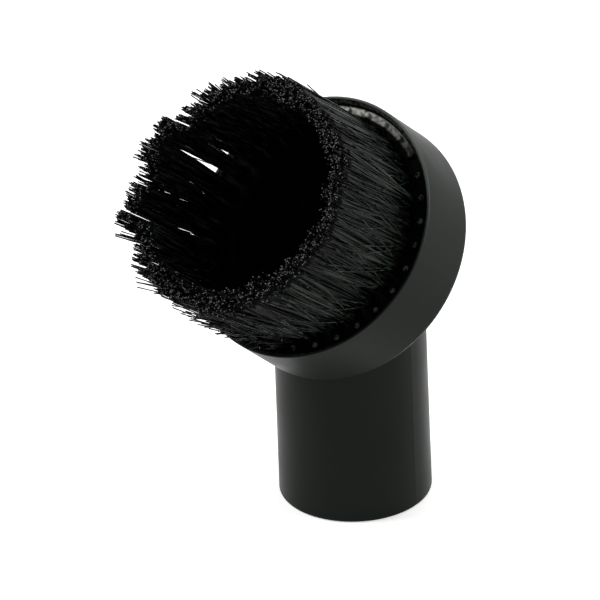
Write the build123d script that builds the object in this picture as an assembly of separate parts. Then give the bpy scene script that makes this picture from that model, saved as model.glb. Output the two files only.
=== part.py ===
from build123d import *
import os
from math import cos, radians, sin, tan

# Round vacuum dusting brush. One moulded body has a push-fit socket, a short tube and a tilted
# round head. A ring of bristle tufts stands in blind holes in the floor of the head, round the
# suction throat, and a flat wire anchor across each hole holds its folded tuft down.
#
# Millimetres and degrees. The origin is the middle of the socket's mouth, +Z runs up the tube,
# and the head leans towards -Y. The YZ plane is the plane of symmetry. The head has its own
# frame on its back plane, where the head's axis crosses the tube's: there x is X, y runs up the
# slope of the head and z runs out of it, towards the bristle tips.

# Socket and tube
socket_r = 16.0  # takes a 32 mm wand end
socket_depth = 38.0
stop_step = 1.5  # shoulder that stops the wand
mouth_wall = 2.5
mouth_round = 0.55
mouth_lead_in = 0.5
tube_draft = 0.75  # each side, so the outside narrows upwards
stop_to_head = 2.1  # tube between the shoulder and the lowest part of the head

# Head
head_tilt = 50.2  # between the head's axis and the tube's
head_overhang = 2.2  # rim past the slanting outline of the tube
band_depth = 17.9
band_draft = 1.7  # each side, so the band widens towards its back
back_round = 1.6
neck_fillet = 1.0
lip_edge = 0.55  # flat on top of the lip
lip_round = 0.22
lip_slope_width = 1.1  # the inside of the lip slopes in to the floor
floor_depth = 2.0
throat_to_holes = 4.2  # rim of the suction throat in the floor, from the ring of holes
throat_step = 0.5  # throat past the tube's passage, at its narrow end
throat_base_height = 3.0
throat_chamfer = 0.8
passage_top_height = 5.3  # where the tube's straight passage ends, over the back plane

# Tuft holes, with a raised collar round each
tuft_count = 32
hole_r = 1.75
hole_depth = 6.5
holes_to_slope = 4.05  # ring of holes, from the slope inside the lip
collar_r = 2.2
collar_height = 0.7
collar_round = 0.4
nub_r = 0.75  # small nub outside each collar, beside the lip
nub_height = 0.95
nub_round = 0.45
nub_to_slope = 1.05

# Tufts
trim_height = 30.0  # longest tips, over the rim
trim_unevenness = 1.2  # how much shorter the shortest tufts are
tip_half_width = 3.2  # half of a tuft's width at its tips, across the ring
tip_draw_in = 0.6  # the tips lean in this far from their holes
tip_set = 2.4  # the tips have bent this far down the slope
flute_count = 9
flute_depth_share = 0.13
waist_height_share = 0.45
flare_power = 0.7  # under 1, so a tuft flares most near its root
tuft_gap = 0.35  # between neighbours at the tips
tuft_clearance = 0.06  # all round in the hole

# Anchors
anchor_width = 4.1
anchor_height = 1.6
anchor_thickness = 0.4
anchor_clearance = 0.03
loop_depth = 0.6  # bristle folded under the anchor

# Worked out from the sizes above
mouth_outer_r = socket_r + mouth_wall
passage_r = socket_r - stop_step
head_height = socket_depth + stop_to_head + mouth_outer_r * tan(radians(head_tilt))
rim_r = mouth_outer_r / cos(radians(head_tilt)) + head_overhang
back_r = rim_r + band_depth * tan(radians(band_draft))
floor_height = band_depth - floor_depth
floor_r = rim_r - lip_edge - lip_slope_width
nub_ring_r = floor_r - nub_to_slope
hole_ring_r = floor_r - holes_to_slope
throat_r = hole_ring_r - throat_to_holes
throat_base_r = passage_r + throat_step
tuft_root_r = hole_r - tuft_clearance
overshoot = 2.0  # how far cutters and joined blanks run past a surface

head_plane = Plane(
    origin=(0, 0, head_height),
    x_dir=(1, 0, 0),
    z_dir=(0, -sin(radians(head_tilt)), cos(radians(head_tilt))),
)
upright = (Align.CENTER, Align.CENTER, Align.MIN)
hanging = (Align.CENTER, Align.CENTER, Align.MAX)

# Evenly spaced, with a gap on the plane of symmetry
tuft_angles = [90 + (index + 0.5) * 360 / tuft_count for index in range(tuft_count)]


def in_head(shape):
    """A shape drawn in the head's frame, moved to its place on the part."""
    return head_plane.location * shape


def on_floor(angle, radius):
    """A place on the head's floor whose x axis points away from the head's axis."""
    return Rot(0, 0, angle) * Pos(radius, 0, floor_height)


def tube_blank():
    """The outside of the tube, from its mouth to just inside the head's back plane."""
    length = head_height + mouth_outer_r * tan(radians(head_tilt)) + 2 * overshoot
    cone = Cone(
        mouth_outer_r, mouth_outer_r - length * tan(radians(tube_draft)), length, align=upright
    )
    cone = fillet(cone.edges().sort_by(Axis.Z)[0], mouth_round)
    reach = 4 * length
    under_head = in_head(Pos(0, 0, overshoot) * Box(reach, reach, reach, align=hanging))
    return cone & under_head


def head_blank():
    """The band with its rounded lip, the slope inside it and the floor, still without holes."""
    section = make_face(
        Polyline(
            (0, 0),
            (back_r, 0),
            (rim_r, band_depth),
            (rim_r - lip_edge, band_depth),
            (floor_r, floor_height),
            (0, floor_height),
            close=True,
        )
    )
    turned = revolve(Plane.XZ * section, Axis.Z)
    lip_edges = turned.edges().filter_by_position(Axis.Z, band_depth - 0.01, band_depth + 0.01)
    return in_head(fillet(lip_edges, lip_round))


def on_back_plane(edge):
    """Whether the whole edge lies on the head's back plane."""
    return all(abs(head_plane.to_local_coords(edge @ share).Z) < 0.01 for share in (0, 0.3, 0.7))


def is_back_rim(edge):
    """Whether the edge is part of the circle round the head's back."""
    return (
        on_back_plane(edge)
        and edge.geom_type == GeomType.CIRCLE
        and abs(edge.radius - back_r) < 0.01
    )


def collar():
    """Raised collar round one hole, drawn on the floor."""
    base = Pos(0, 0, -overshoot) * Cylinder(collar_r, overshoot + collar_height, align=upright)
    return fillet(base.edges().sort_by(Axis.Z)[-1], collar_round)


def nub():
    """Small round-topped nub, drawn on the floor."""
    base = Pos(0, 0, -overshoot) * Cylinder(nub_r, overshoot + nub_height, align=upright)
    return fillet(base.edges().sort_by(Axis.Z)[-1], nub_round)


def hole_cutter():
    """One blind tuft hole and the nick that its anchor cut beside it, drawn on the floor."""
    above = collar_height + overshoot
    hole = Pos(0, 0, -hole_depth) * Cylinder(hole_r, hole_depth + above, align=upright)
    nick_bottom = loop_depth - hole_depth - anchor_clearance
    nick = Pos(0, 0, nick_bottom) * Box(
        anchor_thickness + 2 * anchor_clearance,
        anchor_width + 2 * anchor_clearance,
        above - nick_bottom,
        align=upright,
    )
    return hole + nick


def passage_cutter():
    """The tube's straight air passage, up to where the throat takes over."""
    reach = 8 * rim_r
    under_top = in_head(Pos(0, 0, passage_top_height) * Box(reach, reach, reach, align=hanging))
    return Cylinder(passage_r, head_height + 2 * rim_r, align=upright) & under_top


def throat_cutter():
    """The funnel from the floor of the head down to the passage, with its rim chamfered."""
    throat_slope = (throat_r - throat_base_r) / (floor_height - throat_base_height)
    section = make_face(
        Polyline(
            (0, throat_base_height),
            (throat_base_r, throat_base_height),
            (throat_r - throat_chamfer * throat_slope, floor_height - throat_chamfer),
            (throat_r + throat_chamfer, floor_height),
            (throat_r + throat_chamfer, floor_height + overshoot),
            (0, floor_height + overshoot),
            close=True,
        )
    )
    return in_head(revolve(Plane.XZ * section, Axis.Z))


def brush_body():
    """The moulded body: tube, head, socket, air passage, collars, nubs and tuft holes."""
    body = tube_blank() + head_blank()
    neck = [edge for edge in body.edges() if on_back_plane(edge) and not is_back_rim(edge)]
    body = fillet(neck, neck_fillet)
    body = fillet([edge for edge in body.edges() if is_back_rim(edge)], back_round)
    raised = [in_head(on_floor(angle, hole_ring_r) * collar()) for angle in tuft_angles]
    raised += [in_head(on_floor(angle, nub_ring_r) * nub()) for angle in tuft_angles]
    body = body + raised

    socket = Pos(0, 0, -overshoot) * Cylinder(socket_r, socket_depth + overshoot, align=upright)
    lead_in = Cone(socket_r + mouth_lead_in, socket_r, mouth_lead_in, align=upright)
    body = body - [socket, lead_in, passage_cutter(), throat_cutter()]
    return body - [in_head(on_floor(angle, hole_ring_r) * hole_cutter()) for angle in tuft_angles]


def fluted_outline(half_radial, half_tangential, depth_share, height, centre):
    """Closed outline of a tuft: an oval whose edge goes in and out between bristle bundles."""
    corners = []
    for index in range(2 * flute_count):
        angle = radians(index * 180 / flute_count)
        share = 1 - depth_share * (index % 2)
        corners.append(
            (
                centre[0] + share * half_radial * cos(angle),
                centre[1] + share * half_tangential * sin(angle),
                height,
            )
        )
    return Face(Wire.make_polygon(corners, close=True))


def bristle_tuft(angle):
    """One tuft: a round root with a window for its anchor, and a flared, fluted brush that
    leans down the slope."""
    turn = radians(angle)
    step_width = 2 * (hole_ring_r - tip_draw_in) * sin(radians(180 / tuft_count))
    half_tangential = (step_width - tuft_gap) / 2
    shortening = trim_unevenness * (1 + sin(5 * turn) * cos(3 * turn)) / 2
    tip_height = trim_height + floor_depth - shortening
    lean = (-tip_draw_in - tip_set * sin(turn), -tip_set * cos(turn))
    levels = []
    for share in (0, waist_height_share, 1):
        flare = share ** flare_power
        levels.append(
            fluted_outline(
                tuft_root_r + flare * (tip_half_width - tuft_root_r),
                tuft_root_r + flare * (half_tangential - tuft_root_r),
                flute_depth_share * share,
                collar_height + share * (tip_height - collar_height),
                (lean[0] * share, lean[1] * share),
            )
        )
    brush = loft(levels, ruled=True)
    root = Pos(0, 0, -hole_depth) * Cylinder(
        tuft_root_r, hole_depth + collar_height, align=upright
    )
    window = Pos(0, 0, loop_depth - hole_depth - anchor_clearance) * Box(
        anchor_thickness + 2 * anchor_clearance,
        4 * hole_r,
        anchor_height + 2 * anchor_clearance,
        align=upright,
    )
    return in_head(on_floor(angle, hole_ring_r) * (root + brush - window))


def anchor(angle):
    """One flat wire anchor across its hole."""
    wire = Pos(0, 0, loop_depth - hole_depth) * Box(
        anchor_thickness, anchor_width, anchor_height, align=upright
    )
    return in_head(on_floor(angle, hole_ring_r) * wire).solid()


os.makedirs("parts", exist_ok=True)
export_step(brush_body(), "parts/brush_body.step")
export_step(Compound([anchor(angle) for angle in tuft_angles]), "parts/wire_anchors.step")
for number, angle in enumerate(tuft_angles, start=1):
    export_step(bristle_tuft(angle), f"parts/bristle_tuft_{number:02d}.step")
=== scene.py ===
import logging
import math
import random
from dataclasses import dataclass
from enum import Enum

import bmesh
import bpy
from mathutils import Matrix, Vector


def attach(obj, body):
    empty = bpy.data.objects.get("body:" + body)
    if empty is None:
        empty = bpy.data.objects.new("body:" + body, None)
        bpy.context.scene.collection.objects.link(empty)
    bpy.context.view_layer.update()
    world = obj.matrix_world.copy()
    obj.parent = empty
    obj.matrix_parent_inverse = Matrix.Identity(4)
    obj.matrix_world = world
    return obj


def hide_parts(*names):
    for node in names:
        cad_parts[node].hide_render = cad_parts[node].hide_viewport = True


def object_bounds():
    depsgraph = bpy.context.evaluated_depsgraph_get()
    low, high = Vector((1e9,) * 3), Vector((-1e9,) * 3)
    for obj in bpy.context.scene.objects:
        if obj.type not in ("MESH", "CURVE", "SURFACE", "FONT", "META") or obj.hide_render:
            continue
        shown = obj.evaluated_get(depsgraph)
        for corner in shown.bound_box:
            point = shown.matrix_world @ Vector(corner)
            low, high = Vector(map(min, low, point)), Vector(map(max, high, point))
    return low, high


# A round vacuum dusting brush: a moulded body with a tube and a tilted head, and a ring of
# bristle tufts that are modelled here as single filaments. Sizes are in the unit that ends
# their name, and meshes are in metres.

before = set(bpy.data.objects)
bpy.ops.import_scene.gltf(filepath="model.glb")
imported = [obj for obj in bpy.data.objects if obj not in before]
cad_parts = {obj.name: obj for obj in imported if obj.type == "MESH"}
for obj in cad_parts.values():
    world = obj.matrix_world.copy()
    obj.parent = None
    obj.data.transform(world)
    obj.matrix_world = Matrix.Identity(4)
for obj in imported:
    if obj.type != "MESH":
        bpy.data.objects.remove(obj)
CAD_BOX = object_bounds()

MM = 0.001
BODY = "root"
log = logging.getLogger("dusting_brush")

Socket = bpy.types.NodeSocket
Tree = bpy.types.NodeTree


def linear(code: str) -> tuple[float, float, float, float]:
    """Turn an sRGB hex colour into the linear colour that a shader takes.

    Args:
        code: The colour, such as "#1a1b1a".

    Returns:
        Red, green, blue and an alpha of 1, each from 0 to 1.
    """
    shares = [int(code[start:start + 2], 16) / 255 for start in (1, 3, 5)]
    red, green, blue = (
        share / 12.92 if share <= 0.04045 else ((share + 0.055) / 1.055) ** 2.4
        for share in shares
    )
    return red, green, blue, 1.0


def add_node(tree: Tree, kind: str, settings: dict[str | int, object] | None = None,
             links: dict[str | int, Socket] | None = None) -> bpy.types.Node:
    """Add one shader node with its settings and incoming links.

    Args:
        tree: The node tree of a material or the world.
        kind: The node's type, such as "ShaderNodeBump".
        settings: Values by input name, input number or property name.
        links: Outputs of other nodes, by the name or number of the input they feed.

    Returns:
        The new node.
    """
    node = tree.nodes.new(kind)
    for name, value in (settings or {}).items():
        if isinstance(name, int) or name in node.inputs:
            node.inputs[name].default_value = value
        else:
            setattr(node, name, value)
    for name, source in (links or {}).items():
        tree.links.new(source, node.inputs[name])
    return node


def new_material(name: str) -> tuple[bpy.types.Material, Tree]:
    """Make a material with an empty node tree.

    Args:
        name: The material's name.

    Returns:
        The material and its tree.
    """
    material = bpy.data.materials.new(name)
    material.use_nodes = True
    material.node_tree.nodes.clear()
    return material, material.node_tree


def pattern_scale(size_mm: float) -> float:
    """Give the scale at which a pattern's marks are size_mm wide."""
    return 1 / (size_mm * MM)


@dataclass(frozen=True)
class HeadFrame:
    """The head's own frame: x is X, y runs up its slope and z out towards the bristle tips.

    Its origin is where the head's axis crosses the tube's, on the head's back plane. These
    sizes are those of the part's source.
    """

    tilt_deg: float = 50.2
    height_mm: float = 62.304
    floor_mm: float = 15.9
    floor_radius_mm: float = 29.452
    hole_ring_mm: float = 25.402
    nub_ring_mm: float = 28.402
    lip_top_mm: float = 17.9

    def matrix(self) -> Matrix:
        """Give the matrix from this frame to the part's frame, in metres."""
        return Matrix.Translation((0, 0, self.height_mm * MM)) @ Matrix.Rotation(
            math.radians(self.tilt_deg), 4, "X")

    def on_floor(self, angle: float) -> Matrix:
        """Give the matrix from a tuft hole's frame, whose x points outwards, to the part's."""
        return self.matrix() @ Matrix.Rotation(angle, 4, "Z") @ Matrix.Translation(
            (self.hole_ring_mm * MM, 0, self.floor_mm * MM))

    def coordinates(self, tree: Tree, stretch: float = 1.0) -> Socket:
        """Give a shader the place in this frame.

        Args:
            tree: The material's tree.
            stretch: How much longer a pattern gets along the head's axis.

        Returns:
            The place, in metres.
        """
        place = add_node(tree, "ShaderNodeTexCoord").outputs["Object"]
        return add_node(tree, "ShaderNodeMapping",
                        {"vector_type": "TEXTURE", "Location": (0, 0, self.height_mm * MM),
                         "Rotation": (math.radians(self.tilt_deg), 0, 0),
                         "Scale": (1, 1, stretch)},
                        {"Vector": place}).outputs["Vector"]

    def polar(self, tree: Tree) -> tuple[Socket, Socket, Socket]:
        """Give a shader its place round the head's axis.

        Args:
            tree: The material's tree.

        Returns:
            The radius and the height over the back plane in metres, and the angle in radians.
        """
        parts = add_node(tree, "ShaderNodeSeparateXYZ", None, {0: self.coordinates(tree)})
        flat = add_node(tree, "ShaderNodeCombineXYZ", None,
                        {0: parts.outputs[0], 1: parts.outputs[1]})
        radius = add_node(tree, "ShaderNodeVectorMath", {"operation": "LENGTH"},
                          {0: flat.outputs[0]}).outputs["Value"]
        angle = add_node(tree, "ShaderNodeMath", {"operation": "ARCTAN2"},
                         {0: parts.outputs[1], 1: parts.outputs[0]}).outputs[0]
        return radius, parts.outputs[2], angle


@dataclass(frozen=True)
class MouldedPlastic:
    """Injection-moulded black polypropylene.

    The mould's fine spark texture gives a satin sheen that spreads reflections. Handling
    polishes it a little in patches, and a few dark specks of dirt sit on it. A painted
    highlight lies along the top of the lip on one side.
    """

    name: str = "moulded_black_polypropylene"
    colour: str = "#101511"
    worn_colour: str = "#161b17"
    # painted highlight on the top of the lip
    painted_highlight_colour: str = "#444844"
    speck_colour: str = "#020202"
    ior: float = 1.49
    specular: float = 0.07  # the texture traps most of the gloss
    roughness: float = 0.42
    polished_roughness: float = 0.34
    patch_mm: float = 14.0  # as wide as a fingertip
    patch_edge: tuple[float, float] = (0.35, 0.65)
    grain_mm: float = 0.35  # the real pits, about 0.05 mm, wouldn't show: drawn coarser
    grain_height_mm: float = 0.008
    grain_strength: float = 0.5
    speck_mm: float = 3.2  # from one speck to the next
    speck_edge: tuple[float, float] = (0.035, 0.02)  # shares of that distance
    speck_cover: float = 0.5
    lip_highlight_mm: tuple[float, float] = (0.45, 0.3)  # under the top of the lip: none, full
    lip_highlight_deg: tuple[float, float] = (-5.0, 30.0)  # round the lip: none, full
    head: HeadFrame = HeadFrame()

    def cover(self, tree: Tree, limits: list[tuple[Socket, float, float]]) -> Socket:
        """Say how much of a mark shows, from limits that all have to be met.

        Args:
            tree: The material's tree.
            limits: For each, a value, where there is none of the mark and where it is full.

        Returns:
            The share, from 0 to 1.
        """
        shares = [add_node(tree, "ShaderNodeMapRange", {"From Min": none, "From Max": full},
                           {"Value": value}).outputs["Result"] for value, none, full in limits]
        whole = shares[0]
        for share in shares[1:]:
            whole = add_node(tree, "ShaderNodeMath", {"operation": "MULTIPLY"},
                             {0: whole, 1: share}).outputs[0]
        return whole

    def add_painted_light(self, tree: Tree, colour: Socket) -> Socket:
        """Add a painted highlight to the plain colour.

        Args:
            tree: The material's tree.
            colour: The plain colour.

        Returns:
            The colour with a painted highlight along the top of the lip, on one side.
        """
        _, height, angle = self.head.polar(tree)
        height_limits = ((self.head.lip_top_mm - depth) * MM for depth in self.lip_highlight_mm)
        angle_limits = (math.radians(limit) for limit in self.lip_highlight_deg)
        # painted highlight: the top of the lip is paler on one side
        lip = self.cover(tree, [(height, *height_limits), (angle, *angle_limits)])
        return add_node(tree, "ShaderNodeMix",
                        {"data_type": "RGBA", 7: linear(self.painted_highlight_colour)},
                        {0: lip, 6: colour}).outputs[2]

    def build(self) -> bpy.types.Material:
        """Build the material.

        Returns:
            The material.
        """
        material, tree = new_material(self.name)
        place = add_node(tree, "ShaderNodeTexCoord").outputs["Object"]
        patches = add_node(tree, "ShaderNodeTexNoise",
                           {"Scale": pattern_scale(self.patch_mm), "Detail": 3.0},
                           {"Vector": place}).outputs["Fac"]
        grain = add_node(tree, "ShaderNodeTexNoise",
                         {"Scale": pattern_scale(self.grain_mm), "Detail": 2.0},
                         {"Vector": place}).outputs["Fac"]
        distance = add_node(tree, "ShaderNodeTexVoronoi",
                            {"Scale": pattern_scale(self.speck_mm), "feature": "F1"},
                            {"Vector": place}).outputs["Distance"]
        specks = add_node(tree, "ShaderNodeMapRange",
                          {"From Min": self.speck_edge[0], "From Max": self.speck_edge[1],
                           "To Min": 0.0, "To Max": self.speck_cover},
                          {"Value": distance}).outputs["Result"]
        plain = add_node(tree, "ShaderNodeMix",
                         {"data_type": "RGBA", 6: linear(self.colour),
                          7: linear(self.worn_colour)}, {0: patches}).outputs[2]
        speckled = add_node(tree, "ShaderNodeMix",
                            {"data_type": "RGBA", 7: linear(self.speck_colour)},
                            {0: specks, 6: plain}).outputs[2]
        roughness = add_node(tree, "ShaderNodeMapRange",
                             {"From Min": self.patch_edge[0], "From Max": self.patch_edge[1],
                              "To Min": self.polished_roughness, "To Max": self.roughness},
                             {"Value": patches}).outputs["Result"]
        bump = add_node(tree, "ShaderNodeBump",
                        {"Strength": self.grain_strength, "Distance": self.grain_height_mm * MM},
                        {"Height": grain}).outputs["Normal"]
        shader = add_node(tree, "ShaderNodeBsdfPrincipled",
                          {"IOR": self.ior, "Specular IOR Level": self.specular},
                          {"Base Color": self.add_painted_light(tree, speckled),
                           "Roughness": roughness, "Normal": bump})
        add_node(tree, "ShaderNodeOutputMaterial", None, {"Surface": shader.outputs["BSDF"]})
        return material


@dataclass(frozen=True)
class PaintedShadePlastic(MouldedPlastic):
    """The same moulded polypropylene inside the head, darkened as painted shade.

    It is a dull, deep black that mirrors hardly anything. Painted highlights lie on the tops
    of the nubs, and a pale mottled painted reflection lies along the lip on one side.
    """

    name: str = "moulded_black_polypropylene_painted_shade"
    # painted shade: both colours are darker copies of the outside finish's colours
    colour: str = "#030403"
    worn_colour: str = "#060706"
    # painted highlight on the tops of the nubs
    painted_highlight_colour: str = "#474b47"
    # painted reflection of a lamp, pale and mottled, along the lip on one side
    painted_reflection_colour: str = "#b6b8b1"
    specular: float = 0.006
    roughness: float = 0.6
    polished_roughness: float = 0.52
    nub_height_mm: tuple[float, float] = (0.6, 0.95)  # over the floor: none, full
    nub_inside_mm: tuple[float, float] = (0.9, 0.6)  # inside the ring of nubs: none, full
    nub_mottle: tuple[float, float] = (0.36, 0.56)
    painted_reflection_fleck_mm: float = 0.9  # size of the mottle in the painted reflection
    painted_reflection_mottle: tuple[float, float] = (0.25, 0.6)
    painted_reflection_start_deg: tuple[float, float] = (50.0, 88.0)  # round the head: none, full
    painted_reflection_end_deg: tuple[float, float] = (109.73, 104.0)
    painted_reflection_inside_mm: tuple[float, float] = (2.3, 2.8)  # past the ring of holes: none, full
    painted_reflection_outside_mm: tuple[float, float] = (0.1, -0.2)  # past the floor's edge: none, full

    def add_painted_light(self, tree: Tree, colour: Socket) -> Socket:
        """Add the painted highlights and the painted reflection to the plain colour.

        Args:
            tree: The material's tree.
            colour: The plain colour.

        Returns:
            The colour with painted highlights on the nubs and the painted reflection along the lip.
        """
        head = self.head
        radius, height, angle = head.polar(tree)
        mottle = add_node(tree, "ShaderNodeTexNoise",
                          {"Scale": pattern_scale(self.painted_reflection_fleck_mm), "Detail": 3.0},
                          {"Vector": head.coordinates(tree)}).outputs["Fac"]
        # painted highlights on the tops of the nubs
        nubs = self.cover(tree, [
            (height, *((head.floor_mm + above) * MM for above in self.nub_height_mm)),
            (radius, *((head.nub_ring_mm - inside) * MM for inside in self.nub_inside_mm)),
            (mottle, *self.nub_mottle)])
        # painted reflection of a lamp along the lip, on one side of the ring
        painted_reflection = self.cover(tree, [
            (angle, *(math.radians(limit) for limit in self.painted_reflection_start_deg)),
            (angle, *(math.radians(limit) for limit in self.painted_reflection_end_deg)),
            (radius, *((head.hole_ring_mm + past) * MM for past in self.painted_reflection_inside_mm)),
            (radius, *((head.floor_radius_mm + past) * MM for past in self.painted_reflection_outside_mm)),
            (mottle, *self.painted_reflection_mottle)])
        for over, share in ((self.painted_highlight_colour, nubs), (self.painted_reflection_colour, painted_reflection)):
            colour = add_node(tree, "ShaderNodeMix", {"data_type": "RGBA", 7: linear(over)},
                              {0: share, 6: colour}).outputs[2]
        return colour


@dataclass(frozen=True)
class BristleFilament:
    """Extruded black polypropylene filament.

    It is smooth along its length, so it shows thin grey highlight streaks. Rubbing has paled
    it, more on one filament than on the next, and crimping dulls it here and there. Near the
    floor it stays black, as painted shade at the foot of each tuft.
    """

    colour: str = "#010201"
    pale_colour: str = "#333b35"
    ior: float = 1.49
    specular: float = 0.1
    smooth_roughness: float = 0.16
    crimped_roughness: float = 0.34
    crimp_mm: float = 6.0
    crimp_edge: tuple[float, float] = (0.3, 0.7)
    tone_mm: float = 0.6  # one filament, 0.29 mm, wouldn't show: two share a tone
    tone_stretch: float = 30.0
    tone_edge: tuple[float, float] = (0.47, 0.65)
    foot_shade_mm: tuple[float, float] = (1.0, 6.0)  # over the floor: full painted shade, no painted shade
    head: HeadFrame = HeadFrame()

    def build(self) -> bpy.types.Material:
        """Build the material.

        Returns:
            The material.
        """
        material, tree = new_material("extruded_black_polypropylene")
        place = add_node(tree, "ShaderNodeTexCoord").outputs["Object"]
        tone = add_node(tree, "ShaderNodeTexNoise",
                        {"Scale": pattern_scale(self.tone_mm), "Detail": 1.0},
                        {"Vector": self.head.coordinates(tree, self.tone_stretch)})
        share = add_node(tree, "ShaderNodeMapRange",
                         {"From Min": self.tone_edge[0], "From Max": self.tone_edge[1]},
                         {"Value": tone.outputs["Fac"]})
        # painted shade: the filaments stay black near the floor, at the foot of each tuft
        height = add_node(tree, "ShaderNodeSeparateXYZ", None,
                          {0: self.head.coordinates(tree)}).outputs[2]
        clear_of_foot_shade = add_node(tree, "ShaderNodeMapRange",
                              {"From Min": (self.head.floor_mm + self.foot_shade_mm[0]) * MM,
                               "From Max": (self.head.floor_mm + self.foot_shade_mm[1]) * MM},
                              {"Value": height})
        paled = add_node(tree, "ShaderNodeMath", {"operation": "MULTIPLY"},
                         {0: share.outputs["Result"], 1: clear_of_foot_shade.outputs["Result"]})
        crimps = add_node(tree, "ShaderNodeTexNoise",
                          {"Scale": pattern_scale(self.crimp_mm), "Detail": 2.0},
                          {"Vector": place})
        colour = add_node(tree, "ShaderNodeMix",
                          {"data_type": "RGBA", 6: linear(self.colour),
                           7: linear(self.pale_colour)}, {0: paled.outputs[0]})
        roughness = add_node(tree, "ShaderNodeMapRange",
                             {"From Min": self.crimp_edge[0], "From Max": self.crimp_edge[1],
                              "To Min": self.smooth_roughness, "To Max": self.crimped_roughness},
                             {"Value": crimps.outputs["Fac"]})
        shader = add_node(tree, "ShaderNodeBsdfPrincipled",
                          {"IOR": self.ior, "Specular IOR Level": self.specular},
                          {"Base Color": colour.outputs[2],
                           "Roughness": roughness.outputs["Result"]})
        add_node(tree, "ShaderNodeOutputMaterial", None, {"Surface": shader.outputs["BSDF"]})
        return material


@dataclass(frozen=True)
class FilamentTip:
    """A part at the filament's end, mottled between two colours: worn on the last millimetres,
    painted highlights on the cut end.
    """

    name: str
    colour: str
    pale_colour: str
    specular: float
    roughness: float
    tone_mm: float
    tone_edge: tuple[float, float]
    tone_detail: float
    ior: float = 1.49

    def build(self) -> bpy.types.Material:
        """Build the material.

        Returns:
            The material.
        """
        material, tree = new_material(self.name)
        place = add_node(tree, "ShaderNodeTexCoord").outputs["Object"]
        tone = add_node(tree, "ShaderNodeTexNoise",
                        {"Scale": pattern_scale(self.tone_mm), "Detail": self.tone_detail},
                        {"Vector": place})
        share = add_node(tree, "ShaderNodeMapRange",
                         {"From Min": self.tone_edge[0], "From Max": self.tone_edge[1]},
                         {"Value": tone.outputs["Fac"]})
        colour = add_node(tree, "ShaderNodeMix",
                          {"data_type": "RGBA", 6: linear(self.colour),
                           7: linear(self.pale_colour)}, {0: share.outputs["Result"]})
        shader = add_node(tree, "ShaderNodeBsdfPrincipled",
                          {"Roughness": self.roughness, "IOR": self.ior,
                           "Specular IOR Level": self.specular},
                          {"Base Color": colour.outputs[2]})
        add_node(tree, "ShaderNodeOutputMaterial", None, {"Surface": shader.outputs["BSDF"]})
        return material


@dataclass(frozen=True)
class RubbedFilament(FilamentTip):
    """Last millimetres of the same filament, rubbed matt by dusting: black at any angle."""

    name: str = "extruded_black_polypropylene_rubbed"
    colour: str = "#010201"
    pale_colour: str = "#0a0c0a"
    specular: float = 0.05
    roughness: float = 0.6
    tone_mm: float = 0.6  # two filaments wide, so that it shows
    tone_edge: tuple[float, float] = (0.0, 1.0)
    tone_detail: float = 1.0


@dataclass(frozen=True)
class CutFilamentEnd(FilamentTip):
    """Sheared end of the same filament.

    Many of the tips show as small pale specks: painted highlights that stand in for glints of light
    on the cut faces.
    """

    name: str = "sheared_black_polypropylene"
    colour: str = "#020302"
    # painted highlight: the pale tone stands in for glints on the cut ends
    pale_colour: str = "#6f726f"
    specular: float = 0.12
    roughness: float = 0.4
    tone_mm: float = 0.4  # from one filament to the next, so each end has one tone
    tone_edge: tuple[float, float] = (0.48, 0.62)
    tone_detail: float = 0.0


@dataclass(frozen=True)
class DrawnWire:
    """Flat drawn steel wire of the anchors: bright, with fine lines from the die."""

    colour: str = "#a9a8a4"
    roughness: float = 0.34
    line_mm: float = 0.08  # the real lines, about 0.01 mm, wouldn't show: drawn coarser
    line_height_mm: float = 0.004
    line_strength: float = 0.4

    def build(self) -> bpy.types.Material:
        """Build the material.

        Returns:
            The material.
        """
        material, tree = new_material("drawn_steel_wire")
        place = add_node(tree, "ShaderNodeTexCoord").outputs["Object"]
        lines = add_node(tree, "ShaderNodeTexNoise",
                         {"Scale": pattern_scale(self.line_mm), "Detail": 1.0},
                         {"Vector": place})
        bump = add_node(tree, "ShaderNodeBump",
                        {"Strength": self.line_strength, "Distance": self.line_height_mm * MM},
                        {"Height": lines.outputs["Fac"]})
        shader = add_node(tree, "ShaderNodeBsdfPrincipled",
                          {"Base Color": linear(self.colour), "Metallic": 1.0,
                           "Roughness": self.roughness},
                          {"Normal": bump.outputs["Normal"]})
        add_node(tree, "ShaderNodeOutputMaterial", None, {"Surface": shader.outputs["BSDF"]})
        return material


@dataclass(frozen=True)
class FilamentShape:
    """Cross-section of every bristle filament, and where it is divided along its length."""

    radius_mm: float = 0.145
    sides: int = 5
    levels: tuple[float, ...] = (0.2, 0.38, 0.56, 0.76, 0.955)
    end_level: float = 0.999  # only the corners of the cut end are higher

    def template(self) -> bpy.types.Mesh:
        """Model one straight filament of radius 1 from z 0 to 1, with a cut end on top.

        Returns:
            A closed mesh. Material 1 is on its upper end, and 2 on the sides just below it.
        """
        half = 0.5
        shape = bmesh.new()
        bmesh.ops.create_cone(shape, cap_ends=True, cap_tris=False, segments=self.sides,
                              radius1=1.0, radius2=1.0, depth=1.0,
                              matrix=Matrix.Translation((0, 0, half)))
        upright = [edge for edge in shape.edges
                   if abs(edge.verts[0].co.z - edge.verts[1].co.z) > half]
        cuts = len(self.levels)
        bmesh.ops.subdivide_edges(shape, edges=upright, cuts=cuts)
        for corner in shape.verts:
            level = round(corner.co.z * (cuts + 1))
            if 0 < level <= cuts:
                corner.co.z = self.levels[level - 1]
        bmesh.ops.recalc_face_normals(shape, faces=shape.faces)
        for face in shape.faces:
            face.smooth = abs(face.normal.z) < half
            if face.normal.z > half:
                face.material_index = 1
            elif face.calc_center_median().z > self.levels[-1]:
                face.material_index = 2
        mesh = bpy.data.meshes.new("filament")
        shape.to_mesh(mesh)
        shape.free()
        return mesh


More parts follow.
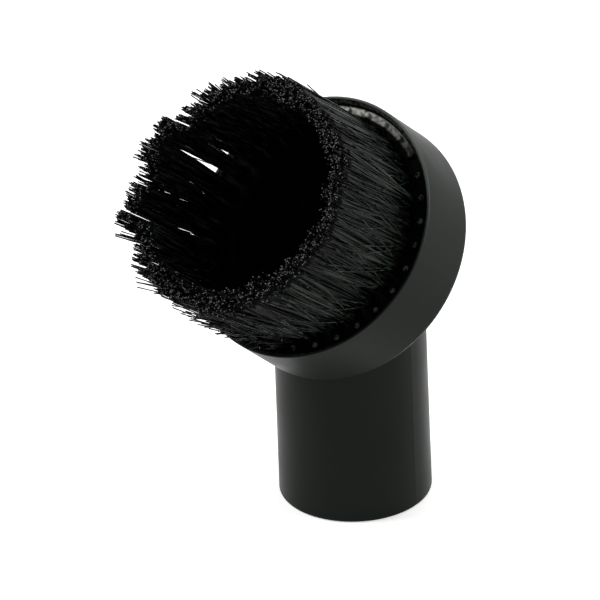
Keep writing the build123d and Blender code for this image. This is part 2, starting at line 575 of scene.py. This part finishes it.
@dataclass(frozen=True)
class Filament:
    """The line of one filament in its hole's frame, in millimetres."""

    root: Vector
    tip: Vector
    bow: Vector
    foot_z: float
    end_slope: Vector
    flare_power: float = 0.75

    def point(self, share: float) -> Vector:
        """Give the filament's middle at a share of its height.

        Args:
            share: 0 at the foot in the hole and 1 at the tip.

        Returns:
            The point. Below the floor the filament stands straight in its hole.
        """
        height = self.foot_z + share * (self.tip.z - self.foot_z)
        above = max(0.0, height) / self.tip.z
        line = self.root.lerp(self.tip, above ** self.flare_power)
        line += 4 * above * (1 - above) * self.bow  # the whole bow, halfway up
        return Vector((line.x, line.y, height))


@dataclass(frozen=True)
class Bundle:
    """A few filaments of one tuft that cling together towards their tips."""

    middle: Vector
    sway: Vector
    shortening: float


@dataclass(frozen=True)
class Bend:
    """How use has pushed one tuft out of line.

    Its tips lean out and sideways and its middle is bowed sideways, in millimetres. The frayed
    share of its filaments is worn short and splays out over the lip.
    """

    outward: float = 0.0
    sideways: float = 0.0
    bowed: float = 0.0
    frayed: float = 0.0


@dataclass
class BristleTuft:
    """One tuft of filaments, folded in its hole and fanned out above it.

    A parted side is 1 towards the next tuft or -1 towards the one before, with how far the
    tips fan out there in millimetres. Crossing filaments are extra ones that lie across the
    outside of the tuft's neighbours. Outward is away from the head's axis.
    """

    number: int
    count: int
    half_width_mm: float  # of the tips, across the ring
    parted_sides: tuple[tuple[int, float], ...] = ()
    bend: Bend = Bend()
    crossing: int = 0
    first_seed: int = 100
    head: HeadFrame = HeadFrame()
    shape: FilamentShape = FilamentShape()
    hole_mm: float = 1.75
    wall_gap: float = 1.3  # from the hole's wall to the outermost filament, in filament radii
    fold_depth_mm: float = 5.6
    tip_mm: float = 32.0  # longest tips, over the floor
    trim_unevenness_mm: float = 1.2  # how much shorter the shortest tufts are
    trim_waves: tuple[int, int] = (5, 3)  # how often the two waves of the trim go up and down
    tip_set_mm: float = 2.4  # the tips have bent this far down the slope
    tip_draw_in_mm: float = 0.6  # and lean in this far from their holes
    filaments: int = 110
    bundles: int = 20
    cling: float = 0.42  # share of the way from a filament's own place to its bundle's
    fan_mm: float = 5.0  # half the width of the tips, along the ring
    end_slope: float = 0.5  # how much the cut ends slant, each its own way
    tip_noise_mm: float = 0.3
    tuft_sway_mm: float = 0.45
    bundle_sway_mm: float = 0.55
    bow_mm: float = 0.3
    ragged_mm: float = 0.3
    bundle_ragged_mm: float = 0.5
    parted_calm: float = 0.55  # a parted tuft strays less, so its gap stays open
    stray_share: float = 0.045  # of the filaments, which stand out up to stray_mm
    stray_mm: float = 4.0
    stray_outward: tuple[float, float] = (-0.15, 0.08)  # shares of stray_mm
    stray_cut_mm: float = 6.0
    frayed_outward_mm: tuple[float, float] = (3.4, 6.2)
    frayed_sideways_mm: tuple[float, float] = (-3.5, 3.5)
    frayed_height_mm: tuple[float, float] = (7.0, 24.0)
    crossing_root: tuple[float, float] = (0.8, 0.5)  # outward and aside, shares of root_reach
    crossing_outward_mm: tuple[float, float] = (0.0, 0.5)  # past the tuft's own tips
    crossing_sideways_mm: tuple[float, float] = (3.0, 7.0)
    crossing_height: tuple[float, float] = (0.5, 0.95)  # shares of the tuft's height
    crossing_bow_mm: float = 0.3

    def __post_init__(self) -> None:
        """Seed the tuft's own random numbers."""
        self.dice = random.Random(self.first_seed + self.number)

    @property
    def angle(self) -> float:
        """The tuft's angle round the head's axis, in radians."""
        return math.radians(90 + (self.number - 0.5) * 360 / self.count)

    @property
    def root_reach(self) -> float:
        """How far from the hole's axis a filament may stand, in millimetres."""
        return self.hole_mm - self.wall_gap * self.shape.radius_mm

    def random_vector(self, spread: float) -> Vector:
        """Draw a flat vector whose x and y have the standard deviation spread."""
        return Vector((self.dice.gauss(0, spread), self.dice.gauss(0, spread), 0.0))

    def lean(self) -> Vector:
        """Give how far the tips stand from straight above the hole, in the hole's frame."""
        return Vector((
            self.bend.outward - self.tip_draw_in_mm - self.tip_set_mm * math.sin(self.angle),
            self.bend.sideways - self.tip_set_mm * math.cos(self.angle), 0.0))

    def trimmed_height(self) -> float:
        """Give the height of the longest tips over the floor, which waves round the ring."""
        wave = math.sin(self.trim_waves[0] * self.angle) * math.cos(self.trim_waves[1] * self.angle)
        return self.tip_mm - self.trim_unevenness_mm * (1 + wave) / 2

    def disc_points(self, count: int) -> list[Vector]:
        """Spread points evenly over a disc of radius 1.

        Args:
            count: How many points.

        Returns:
            The points, from the middle outwards.
        """
        golden = math.pi * (3 - math.sqrt(5))
        points = []
        for index in range(count):
            radius = math.sqrt((index + 0.5) / count)
            points.append(Vector((radius * math.cos(index * golden),
                                  radius * math.sin(index * golden), 0.0)))
        return points

    def fan(self, spot: Vector) -> Vector:
        """Widen a point of the disc to the fan at the tips, which is narrow on a parted side."""
        fan_mm = dict(self.parted_sides).get(1 if spot.y > 0 else -1, self.fan_mm)
        return Vector((self.half_width_mm * spot.x, fan_mm * spot.y, 0.0))

    def lay_out(self) -> list[Filament]:
        """Lay out the tuft's filaments.

        Returns:
            One line for each filament.
        """
        calm = self.parted_calm if self.parted_sides else 1.0
        top = self.trimmed_height()
        lean = self.lean()
        if not self.parted_sides:
            lean += self.random_vector(self.tuft_sway_mm)
        bundles = [
            Bundle(middle, self.random_vector(self.bundle_sway_mm * calm),
                   abs(self.dice.gauss(0, self.bundle_ragged_mm)))
            for middle in self.disc_points(self.bundles)
        ]
        lines = []
        for spot in self.disc_points(self.filaments):
            bundle = min(bundles, key=lambda one: (one.middle - spot).length)
            tip = self.fan(spot.lerp(bundle.middle, self.cling)) + lean + bundle.sway
            tip += self.random_vector(self.tip_noise_mm * calm)
            tip.z = top - bundle.shortening - abs(self.dice.gauss(0, self.ragged_mm))
            if self.dice.random() < self.stray_share * calm:
                tip += self.stray_mm * Vector(
                    (self.dice.uniform(*self.stray_outward), self.dice.uniform(-1, 1), 0.0))
                tip.z -= self.dice.random() * self.stray_cut_mm
            if self.dice.random() < self.bend.frayed:
                tip = Vector((self.dice.uniform(*self.frayed_outward_mm),
                              self.dice.uniform(*self.frayed_sideways_mm),
                              self.dice.uniform(*self.frayed_height_mm)))
            bow = self.random_vector(self.bow_mm * calm) + Vector((0.0, self.bend.bowed, 0.0))
            lines.append(Filament(spot * self.root_reach, tip, bow, -self.fold_depth_mm,
                                  self.random_vector(self.end_slope)))
        return lines + [self.crossing_line(lean, top) for _ in range(self.crossing)]

    def crossing_line(self, lean: Vector, top: float) -> Filament:
        """Lay one filament from the outside of the tuft across a neighbour.

        Args:
            lean: How far the tuft's tips stand from straight above the hole.
            top: The height of its longest tips.

        Returns:
            The filament's line.
        """
        side = self.dice.choice((-1, 1))
        tip = lean + Vector((self.half_width_mm + self.dice.uniform(*self.crossing_outward_mm),
                             side * self.dice.uniform(*self.crossing_sideways_mm), 0.0))
        tip.z = top * self.dice.uniform(*self.crossing_height)
        outward, sideways = self.crossing_root
        root = self.root_reach * Vector((outward, -side * sideways, 0.0))
        return Filament(root, tip, Vector((self.crossing_bow_mm, 0.0, 0.0)),
                        -self.fold_depth_mm, Vector((0.0, 0.0, 0.0)))

    def build(self, template: bpy.types.Mesh,
              materials: list[bpy.types.Material]) -> bpy.types.Object:
        """Model the tuft as single filaments.

        Args:
            template: The straight filament.
            materials: The filament's skin, its cut end and its rubbed tip.

        Returns:
            The tuft, which rides on the body and replaces its plain solid.
        """
        bunch = bmesh.new()
        lines = self.lay_out()
        for _ in lines:
            bunch.from_mesh(template)
        corners = list(bunch.verts)
        each = len(template.vertices)
        radius = self.shape.radius_mm
        for number, line in enumerate(lines):
            for corner in corners[number * each:(number + 1) * each]:
                share = corner.co.z
                aside = Vector((radius * corner.co.x, radius * corner.co.y, 0.0))
                if share > self.shape.end_level:
                    aside.z = aside.dot(line.end_slope)
                corner.co = line.point(share) + aside
        bmesh.ops.scale(bunch, vec=(MM, MM, MM), verts=bunch.verts)
        bmesh.ops.transform(bunch, matrix=self.head.on_floor(self.angle), verts=bunch.verts)
        mesh = bpy.data.meshes.new(f"bristles_{self.number:02d}")
        bunch.to_mesh(mesh)
        bunch.free()
        for material in materials:
            mesh.materials.append(material)
        piece = bpy.data.objects.new(mesh.name, mesh)
        bpy.context.scene.collection.objects.link(piece)
        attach(piece, BODY)
        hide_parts(f"bristle_tuft_{self.number:02d}")
        return piece


@dataclass(frozen=True)
class BristleRing:
    """The ring of tufts in the floor of the head, numbered from the top of its slope.

    Use has pushed some tufts out of line. A gap stays after each tuft in parted_after, with
    how far the tips on both sides of it fan out. The tufts in slim have tips that stand closer
    together across the ring. A few filaments of each tuft in crossed lie across the outside of
    its neighbours.
    """

    count: int = 32
    parted_after: tuple[tuple[int, float], ...] = ((6, 2.9), (7, 2.9), (10, 3.35))
    half_width_mm: float = 2.8
    slim: tuple[int, ...] = tuple(range(22, 32))
    slim_half_width_mm: float = 1.7
    crossed: tuple[int, ...] = tuple(range(14, 30))
    crossing: int = 4
    bends: tuple[tuple[int, Bend], ...] = (
        (1, Bend(0.8)), (2, Bend(0.9)), (3, Bend(-0.6)), (4, Bend(-0.9, -0.4)),
        (5, Bend(-0.2, -0.8, -0.3)), (6, Bend(-0.4, -1.4, -0.5)), (7, Bend(2.6, -1.4, -0.5)),
        (8, Bend(3.0, -1.4, -0.5)), (9, Bend(1.0, -1.2, -0.4)), (10, Bend(3.0, -0.7, -0.1)),
        (11, Bend(4.2, -1.4)), (12, Bend(0.8)), (13, Bend(1.2)), (14, Bend(0.6, frayed=0.04)),
        (15, Bend(frayed=0.2)), (16, Bend(-0.3, frayed=0.35)), (17, Bend(-0.4, frayed=0.35)),
        (18, Bend(frayed=0.2)),
    )

    def build(self) -> list[bpy.types.Object]:
        """Build every tuft.

        Returns:
            The tufts, in order round the head.
        """
        template = FilamentShape().template()
        materials = [BristleFilament().build(), CutFilamentEnd().build(),
                     RubbedFilament().build()]
        bends = dict(self.bends)
        gaps = dict(self.parted_after)
        tufts = []
        for number in range(1, self.count + 1):
            parted = tuple((side, gaps[before])
                           for side, before in ((1, number), (-1, number - 1)) if before in gaps)
            tuft = BristleTuft(
                number, self.count,
                self.slim_half_width_mm if number in self.slim else self.half_width_mm,
                parted, bends.get(number, Bend()), self.crossing if number in self.crossed else 0)
            tufts.append(tuft.build(template, materials))
        bpy.data.meshes.remove(template)
        return tufts


@dataclass(frozen=True)
class MouldedParts:
    """The pieces that keep their own shape and only get a finish: the body and the anchors."""

    head: HeadFrame = HeadFrame()
    slope_width_mm: float = 1.05  # of the lip's inside, past the edge of the floor
    lip_flat_mm: float = 0.04  # at the lip's top, which gets no painted shade
    shade_from_mm: float = 1.5  # over the head's back plane

    def dress(self, node: str, materials: list[bpy.types.Material]) -> bpy.types.Object:
        """Give a node its finish.

        Args:
            node: The node's name.
            materials: Its finishes. The whole node gets the first.

        Returns:
            The node's object.
        """
        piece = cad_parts[node]
        piece.data.materials.clear()
        for material in materials:
            piece.data.materials.append(material)
        return piece

    def paint_shade_inside(self, body: bpy.types.Object) -> None:
        """Give the faces inside the head the body's second finish, which paints shade there.

        Args:
            body: The body.
        """
        to_head = self.head.matrix().inverted()
        reach_mm = self.head.floor_radius_mm + self.slope_width_mm
        top_mm = self.head.lip_top_mm - self.lip_flat_mm
        for face in body.data.polygons:
            place = to_head @ face.center / MM
            within = math.hypot(place.x, place.y) < reach_mm
            if within and self.shade_from_mm < place.z < top_mm:
                face.material_index = 1

    def build(self) -> list[bpy.types.Object]:
        """Dress the body and the anchors.

        Returns:
            Both objects.
        """
        # the second finish is a darker copy of the first: painted shade inside the head
        finishes = [MouldedPlastic().build(), PaintedShadePlastic().build()]
        body = self.dress("brush_body", finishes)
        self.paint_shade_inside(body)
        return [body, self.dress("wire_anchors", [DrawnWire().build()])]


def facing(azimuth_deg: float, elevation_deg: float) -> Vector:
    """Give the direction from the object towards a lamp or camera.

    Args:
        azimuth_deg: 0 is in front, at -Y, and 90 is at +X.
        elevation_deg: The angle over the floor.

    Returns:
        The direction, of length 1.
    """
    azimuth, elevation = math.radians(azimuth_deg), math.radians(elevation_deg)
    return Vector((math.sin(azimuth) * math.cos(elevation),
                   -math.cos(azimuth) * math.cos(elevation), math.sin(elevation)))


class BoxSide(Enum):
    """Where a soft box stands, seen from the camera."""

    RIGHT = "right"
    LEFT = "left"
    BACK = "back"


@dataclass(frozen=True)
class SoftBox:
    """A large square lamp that gives soft light."""

    side: BoxSide
    azimuth_deg: float
    elevation_deg: float
    distance_m: float
    width_m: float
    power_w: float

    def build(self, target: Vector) -> bpy.types.Object:
        """Build the lamp.

        Args:
            target: The point it faces.

        Returns:
            The lamp.
        """
        lamp = bpy.data.lights.new(f"soft_box_{self.side.value}", "AREA")
        lamp.size = self.width_m
        lamp.energy = self.power_w
        back = facing(self.azimuth_deg, self.elevation_deg)
        box = bpy.data.objects.new(lamp.name, lamp)
        box.location = target + back * self.distance_m
        box.rotation_euler = (-back).to_track_quat("-Z", "Y").to_euler()
        bpy.context.scene.collection.objects.link(box)
        return box


@dataclass(frozen=True)
class Studio:
    """Pale floor, white surroundings and soft boxes."""

    floor_width_m: float = 6.0
    floor_colour: str = "#f6f6f5"
    floor_glow: float = 0.4  # only for the rays that see the backdrop
    surround_colour: str = "#ffffff"
    fill: float = 0.38  # strength of the surroundings as light
    boxes: tuple[SoftBox, ...] = (
        SoftBox(BoxSide.RIGHT, 122.0, 34.0, 0.9, 0.5, 3.0),
        SoftBox(BoxSide.LEFT, -54.0, 46.0, 0.9, 0.34, 5.0),
        SoftBox(BoxSide.BACK, 190.0, 62.0, 0.9, 0.55, 3.0),
    )

    def backdrop_rays(self, tree: Tree) -> Socket:
        """Say which rays see the white backdrop: camera, glossy and transmission rays.

        Args:
            tree: The tree that gets the nodes.

        Returns:
            A value of 1 on such a ray, or else 0.
        """
        path = add_node(tree, "ShaderNodeLightPath")
        either = add_node(tree, "ShaderNodeMath", {"operation": "MAXIMUM"},
                          {0: path.outputs["Is Camera Ray"], 1: path.outputs["Is Glossy Ray"]})
        return add_node(tree, "ShaderNodeMath", {"operation": "MAXIMUM"},
                        {0: either.outputs[0], 1: path.outputs["Is Transmission Ray"]}).outputs[0]

    def build_floor(self) -> bpy.types.Object:
        """Build the floor, which the camera sees as white apart from the brush's soft shadow.

        Returns:
            The floor.
        """
        sheet = bmesh.new()
        bmesh.ops.create_grid(sheet, x_segments=1, y_segments=1, size=self.floor_width_m / 2)
        mesh = bpy.data.meshes.new("studio_floor")
        sheet.to_mesh(mesh)
        sheet.free()
        floor = bpy.data.objects.new("studio_floor", mesh)
        bpy.context.scene.collection.objects.link(floor)
        material, tree = new_material("painted_studio_floor")
        paint = add_node(tree, "ShaderNodeBsdfDiffuse", {"Color": linear(self.floor_colour)})
        glow = add_node(tree, "ShaderNodeEmission", {"Strength": self.floor_glow})
        lit = add_node(tree, "ShaderNodeAddShader", None,
                       {0: paint.outputs[0], 1: glow.outputs[0]})
        seen = add_node(tree, "ShaderNodeMixShader", None,
                        {0: self.backdrop_rays(tree), 1: paint.outputs[0], 2: lit.outputs[0]})
        add_node(tree, "ShaderNodeOutputMaterial", None, {"Surface": seen.outputs[0]})
        mesh.materials.append(material)
        return floor

    def build_surroundings(self) -> bpy.types.World:
        """Build the world: white where it is seen or mirrored, and a dim fill as light.

        Returns:
            The world.
        """
        world = bpy.data.worlds.new("white_studio")
        world.use_nodes = True
        tree = world.node_tree
        tree.nodes.clear()
        strength = add_node(tree, "ShaderNodeMath", {"operation": "MAXIMUM", 1: self.fill},
                            {0: self.backdrop_rays(tree)})
        sky = add_node(tree, "ShaderNodeBackground", {"Color": linear(self.surround_colour)},
                       {"Strength": strength.outputs[0]})
        add_node(tree, "ShaderNodeOutputWorld", None, {"Surface": sky.outputs[0]})
        bpy.context.scene.world = world
        return world

    def build(self, target: Vector) -> None:
        """Build the whole studio.

        Args:
            target: The point that the soft boxes face.
        """
        self.build_floor()
        self.build_surroundings()
        for box in self.boxes:
            box.build(target)


@dataclass(frozen=True)
class PhotoCamera:
    """The camera of the photograph, as fitted to the tube and the rim of the head."""

    azimuth_deg: float = 40.538
    elevation_deg: float = 26.0635
    roll_deg: float = -2.6596
    distance_mm: float = 600.0
    aside_mm: float = -13.4584  # right of the line that looks at the origin
    above_mm: float = 44.3148  # over that line
    focal_px: float = 2476.695
    picture_px: float = 600.0
    sensor_mm: float = 36.0
    nearest_m: float = 0.01
    farthest_m: float = 20.0

    def build(self) -> bpy.types.Object:
        """Build the camera and make it the scene's.

        Returns:
            The camera.
        """
        back = facing(self.azimuth_deg, self.elevation_deg)
        azimuth = math.radians(self.azimuth_deg)
        level = Vector((math.cos(azimuth), math.sin(azimuth), 0.0))
        right = Matrix.Rotation(math.radians(self.roll_deg), 3, back) @ level
        up = back.cross(right)
        data = bpy.data.cameras.new("photo_camera")
        data.sensor_width = self.sensor_mm
        data.lens = self.focal_px / self.picture_px * self.sensor_mm
        data.clip_start, data.clip_end = self.nearest_m, self.farthest_m
        camera = bpy.data.objects.new("photo_camera", data)
        place = (back * self.distance_mm + right * self.aside_mm + up * self.above_mm) * MM
        turn = Matrix((right, up, back)).transposed().to_4x4()
        camera.matrix_world = Matrix.Translation(place) @ turn
        bpy.context.scene.collection.objects.link(camera)
        bpy.context.scene.camera = camera
        return camera


def main() -> None:
    """Build the brush, its studio and the camera."""
    logging.basicConfig(level=logging.INFO, format="%(message)s")
    bpy.context.scene.view_settings.view_transform = "Standard"
    PhotoCamera().build()
    Studio().build((CAD_BOX[0] + CAD_BOX[1]) / 2)
    for piece in MouldedParts().build():
        log.info("dressed %s", piece.name)
    for piece in BristleRing().build():
        log.info("built %s with %d faces", piece.name, len(piece.data.polygons))


if __name__ == "__main__":
    main()
